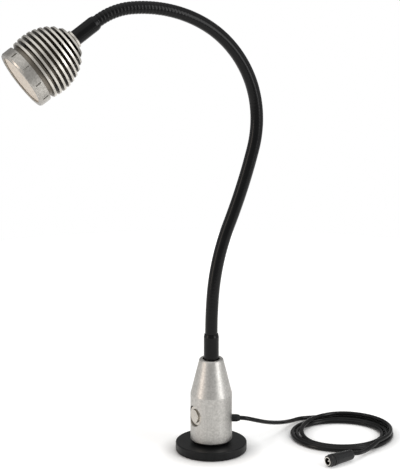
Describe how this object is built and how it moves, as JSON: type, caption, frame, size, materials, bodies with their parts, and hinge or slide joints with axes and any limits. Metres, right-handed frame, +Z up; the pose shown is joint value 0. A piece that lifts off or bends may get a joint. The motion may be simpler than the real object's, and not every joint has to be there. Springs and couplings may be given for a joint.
{
  "type": "magnetic work light",
  "caption": "Work light with a round magnet foot, a turned metal base with a push switch, a bendable neck and a finned lamp head; its cord ends in an inline socket.",
  "frame": {"origin": "middle of the magnet's underside, on the surface the lamp stands on", "axes": "+Z up; the neck lies in the XZ plane and its head reaches towards -X; +X and -Y hold the cord"},
  "size_m": [0.3724, 0.1256, 0.4321],
  "materials": {
    "black_rubber": "matte",
    "plain_steel": "machined",
    "magnet_metal": "plated, dull",
    "base_steel": "fine turned, satin",
    "turned_aluminium": "turned, satin",
    "black_cover": "satin",
    "black_cord": "satin",
    "black_plastic": "moulded",
    "white_nylon": "moulded",
    "green_board": "lacquered",
    "dark_parts": "moulded",
    "brass": "bright",
    "nickel": "bright plated",
    "red_wire": "extruded",
    "board_aluminium": "white lacquered",
    "yellow_chip": "moulded",
    "frosted_window": "frosted"
  },
  "bodies": {
    "base": {"magnet_jacket": "black_rubber", "magnet_plate": "plain_steel", "magnet_discs": "magnet_metal", "magnet_screw": "plain_steel", "base_body": "base_steel", "base_plug": "plain_steel", "switch_bezel": "base_steel", "switch_nut": "plain_steel", "switch_block": "black_plastic", "switch_terminals": "brass", "cord_gland": "black_plastic", "driver_board": "green_board", "board_posts": "white_nylon", "driver_parts": "dark_parts", "base_leads": "red_wire", "neck_foot": "plain_steel", "lower_sleeve": "black_cover", "neck_cover_0": "black_cover", "neck_core_0": "plain_steel", "neck_leads_0": "red_wire", "cord_lead": "black_cord", "cord_coil": "black_cord", "cord_tail": "black_cord", "connector_shell": "black_plastic", "connector_barrel": "nickel", "connector_pin": "nickel"},
    "button": {"switch_button": "base_steel"},
    "neck_1": {"neck_cover_1": "black_cover", "neck_core_1": "plain_steel", "neck_leads_1": "red_wire"},
    "neck_2": {"neck_cover_2": "black_cover", "neck_core_2": "plain_steel", "neck_leads_2": "red_wire"},
    "neck_3": {"neck_cover_3": "black_cover", "neck_core_3": "plain_steel", "neck_leads_3": "red_wire"},
    "neck_4": {"neck_cover_4": "black_cover", "neck_core_4": "plain_steel", "neck_leads_4": "red_wire"},
    "neck_5": {"neck_cover_5": "black_cover", "neck_core_5": "plain_steel", "neck_leads_5": "red_wire"},
    "head": {"neck_cover_6": "black_cover", "neck_core_6": "plain_steel", "neck_leads_6": "red_wire", "upper_sleeve": "black_cover", "neck_tip": "plain_steel", "tip_nut": "plain_steel", "heat_sink": "turned_aluminium", "led_board": "board_aluminium", "led_chips": "yellow_chip", "led_screws": "plain_steel", "lens_seal": "black_rubber", "diffuser": "frosted_window"},
    "ring": {"front_ring": "turned_aluminium"}
  },
  "joints": [
    {"name": "neck_low_bend", "type": "hinge", "parent": "base", "child": "neck_1", "pos_m": [0.00139, 0, 0.14896], "axis": [0, 1, 0], "range_deg": [-30, 30]},
    {"name": "neck_low_swing", "type": "hinge", "parent": "neck_1", "child": "neck_2", "pos_m": [0.01808, 0, 0.21766], "axis": [0.9219, 0, -0.3875], "range_deg": [-30, 30]},
    {"name": "neck_middle_bend", "type": "hinge", "parent": "neck_2", "child": "neck_3", "pos_m": [0.04118, 0, 0.28475], "axis": [0, 1, 0], "range_deg": [-30, 30]},
    {"name": "neck_middle_swing", "type": "hinge", "parent": "neck_3", "child": "neck_4", "pos_m": [0.03619, 0, 0.35423], "axis": [0.9178, 0, 0.3971], "range_deg": [-30, 30]},
    {"name": "neck_high_bend", "type": "hinge", "parent": "neck_4", "child": "neck_5", "pos_m": [-0.0097, 0, 0.40693], "axis": [0, 1, 0], "range_deg": [-30, 30]},
    {"name": "neck_high_swing", "type": "hinge", "parent": "neck_5", "child": "head", "pos_m": [-0.07714, 0, 0.42627], "axis": [0.0122, 0, 0.9999], "range_deg": [-30, 30]},
    {"name": "switch_press", "type": "slide", "parent": "base", "child": "button", "axis": [0.9925, 0.1219, 0], "range_m": [0, 0.0013], "stiffness_N_per_m": 600, "springref_m": -0.0015},
    {"name": "front_ring_turn", "type": "hinge", "parent": "head", "child": "ring", "pos_m": [-0.13098, 0, 0.40366], "axis": [-0.8415, 0, -0.5402], "range_deg": [0, 90]}
  ]
}
